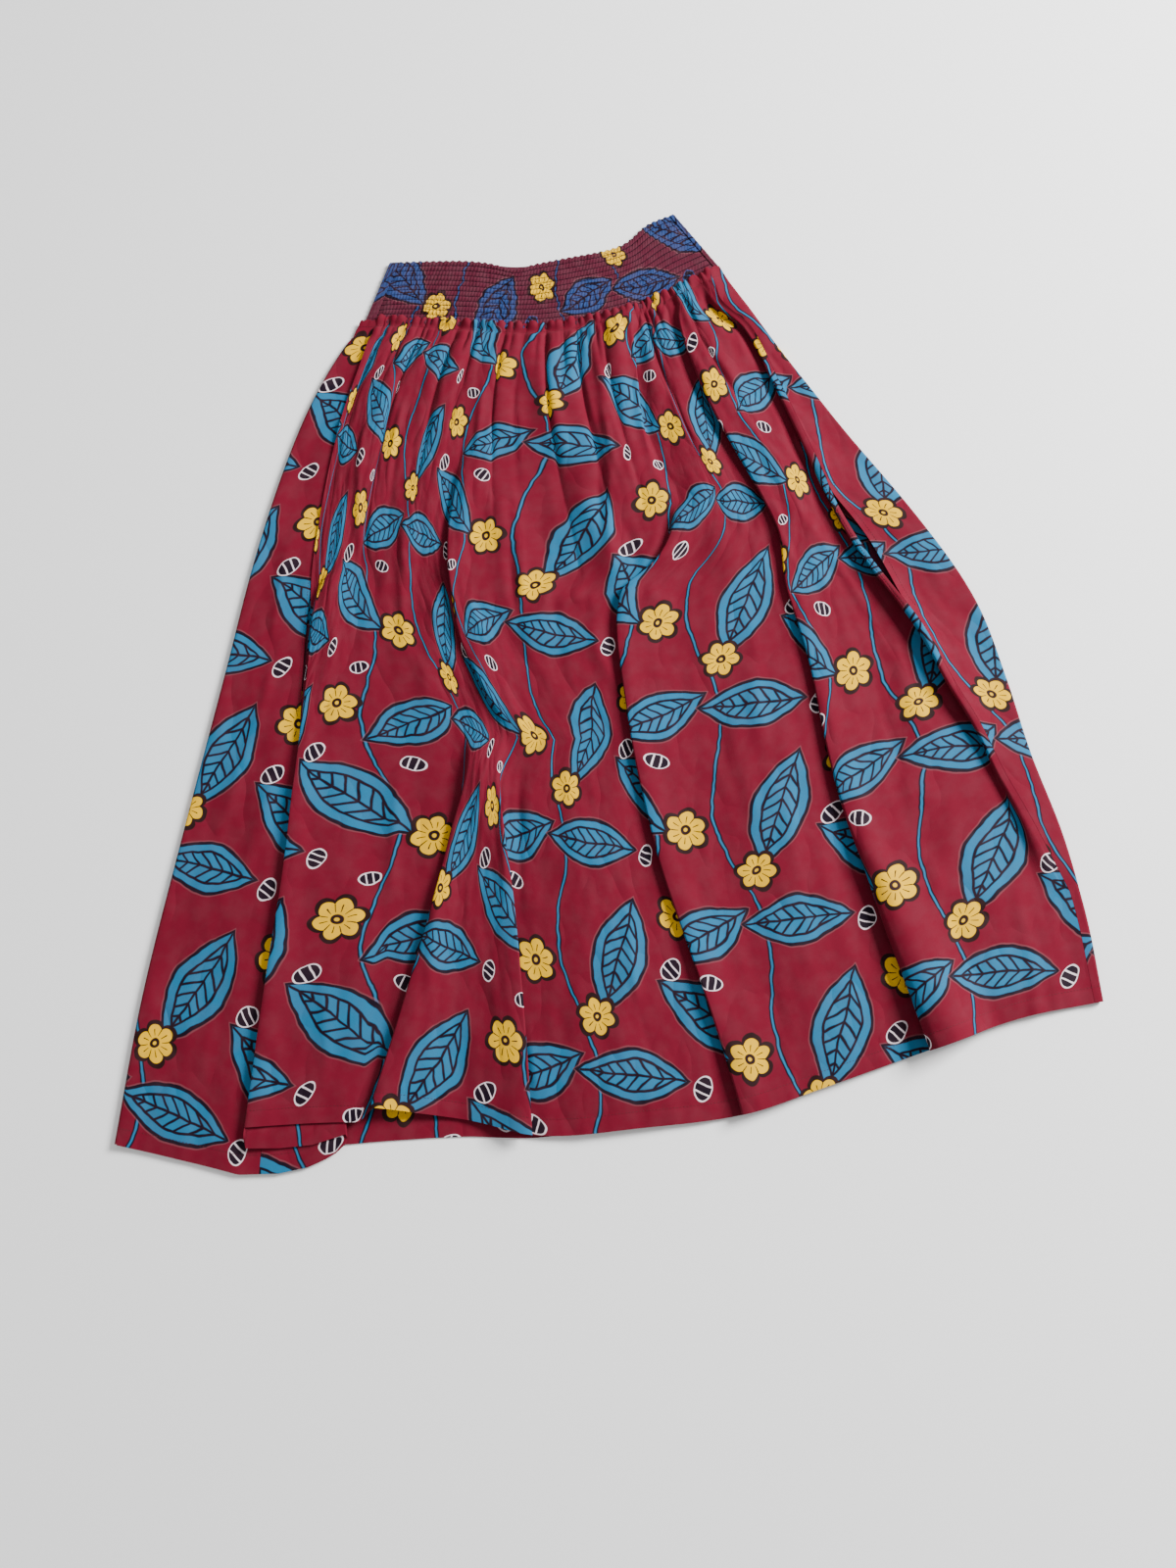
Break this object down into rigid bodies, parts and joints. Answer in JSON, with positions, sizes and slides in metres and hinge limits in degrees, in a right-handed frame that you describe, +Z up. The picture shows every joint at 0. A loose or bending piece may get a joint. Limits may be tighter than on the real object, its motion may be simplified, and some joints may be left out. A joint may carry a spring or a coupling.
{
  "type": "ankara maxi skirt",
  "caption": "Long gathered skirt of printed wax cotton with a smocked elastic waistband, lying flat with its back panel on the surface.",
  "frame": {"origin": "centre of the skirt's bounding rectangle on the surface that it lies on", "axes": "+Z up out of the surface, +Y from the hem towards the waist, +X across to the right as seen from above with the waist away"},
  "size_m": [0.9877, 1.1099, 0.0234],
  "materials": {
    "printed_cotton_front": "matt printed wax cotton",
    "printed_cotton_back": "matt printed wax cotton",
    "smocked_cotton": "matt printed cotton, shirred on elastic thread",
    "band_cotton": "matt printed cotton",
    "pocket_cotton": "matt printed cotton"
  },
  "bodies": {
    "root": {"front_panel": "printed_cotton_front", "back_panel": "printed_cotton_back", "waistband_front": "smocked_cotton", "waistband_back": "band_cotton", "pocket_left": "pocket_cotton", "pocket_right": "pocket_cotton"}
  },
  "joints": []
}
